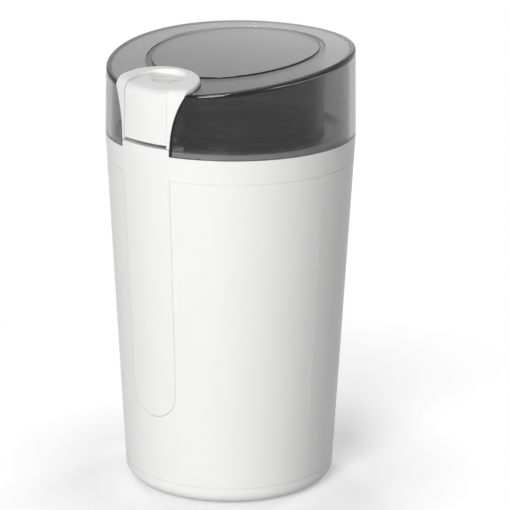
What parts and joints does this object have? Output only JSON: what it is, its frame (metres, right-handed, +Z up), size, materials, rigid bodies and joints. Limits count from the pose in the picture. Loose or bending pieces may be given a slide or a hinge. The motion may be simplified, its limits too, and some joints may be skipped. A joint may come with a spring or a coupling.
{
  "type": "electric coffee grinder",
  "caption": "Upright electric coffee grinder: tapered white body, steel grinding bowl with a flat blade, and a clear tinted lid with a press-and-hold button.",
  "frame": {"origin": "on the resting plane, under the middle of the tapered body", "axes": "+Z up, -Y towards the front with the button, +X to the right of someone who faces the front"},
  "size_m": [0.092, 0.092, 0.1652],
  "materials": {
    "white_plastic": "satin",
    "tinted_plastic": "polished, see-through smoke tint",
    "bowl_steel": "brushed round the axis",
    "blade_steel": "ground",
    "shaft_steel": "ground",
    "bush_bronze": "turned",
    "black_rubber": "matt",
    "zinc_steel": "zinc plated",
    "grey_plastic": "matt",
    "black_plastic": "matt",
    "cast_aluminium": "as cast",
    "core_steel": "varnished sheets",
    "copper": "varnished copper",
    "brass": "bright",
    "carbon": "matt",
    "spring_steel": "drawn wire",
    "fuse_ceramic": "glazed sleeve",
    "board_laminate": "phenolic sheet",
    "blue_plastic": "moulded case",
    "ferrite": "varnished",
    "green_plastic": "moulded",
    "red_plastic": "moulded",
    "lead_sleeve": "plain sleeve"
  },
  "bodies": {
    "housing": {"body_shell": "white_plastic", "base_cover": "white_plastic", "rubber_feet": "black_rubber", "base_screws": "zinc_steel", "collar": "white_plastic", "bowl_gasket": "black_rubber", "grinding_bowl": "bowl_steel", "bowl_bush": "bush_bronze", "bowl_nut": "shaft_steel", "shaft_seal": "black_rubber", "motor_frame": "grey_plastic", "frame_screws": "zinc_steel", "rubber_mounts": "black_rubber", "mount_screws": "zinc_steel", "upper_bracket": "cast_aluminium", "lower_bracket": "cast_aluminium", "upper_bush": "bush_bronze", "lower_bush": "bush_bronze", "bush_retainers": "zinc_steel", "motor_bolts": "zinc_steel", "bolt_nuts": "zinc_steel", "stator_core": "core_steel", "field_coils": "copper", "thermal_fuse": "fuse_ceramic", "brush_holders": "brass", "carbon_brushes": "carbon", "brush_springs": "spring_steel", "circuit_board": "board_laminate", "board_screws": "zinc_steel", "capacitor": "blue_plastic", "choke_coils": "ferrite", "terminal_block": "green_plastic", "cord_clamp": "grey_plastic", "clamp_screws": "zinc_steel", "cord_grommet": "black_rubber", "switch_body": "black_plastic", "switch_terminals": "brass", "switch_bracket": "grey_plastic", "switch_screws": "zinc_steel", "switch_leads": "lead_sleeve"},
    "lid": {"lid_shell": "tinted_plastic", "switch_bezel": "white_plastic", "button_spring": "spring_steel"},
    "button": {"button_cap": "white_plastic", "stem_clip": "zinc_steel"},
    "interlock": {"interlock_plunger": "grey_plastic", "switch_tip": "red_plastic"},
    "rotor": {"motor_shaft": "shaft_steel", "armature_core": "core_steel", "armature_windings": "copper", "commutator": "copper", "cooling_fan": "black_plastic", "drive_collar": "shaft_steel", "grinding_blade": "blade_steel", "blade_washer": "blade_steel", "blade_nut": "blade_steel"}
  },
  "joints": [
    {"name": "lid_lift", "type": "slide", "parent": "housing", "child": "lid", "axis": [0, 0, 1], "range_m": [0, 0.06]},
    {"name": "button_press", "type": "slide", "parent": "lid", "child": "button", "axis": [0, 0, -1], "range_m": [0, 0.0012], "stiffness_N_per_m": 800, "springref_m": -0.003, "deforming": ["button_spring"]},
    {"name": "plunger_press", "type": "slide", "parent": "housing", "child": "interlock", "axis": [0, 0, -1], "range_m": [0, 0.0012], "stiffness_N_per_m": 300, "springref_m": -0.002},
    {"name": "rotor_spin", "type": "hinge", "parent": "housing", "child": "rotor", "pos_m": [0, 0.0024, 0.1], "axis": [0, 0, 1], "continuous": true}
  ],
  "couplings": [
    {"joint": "plunger_press", "follows": "button_press", "ratio": 1}
  ]
}
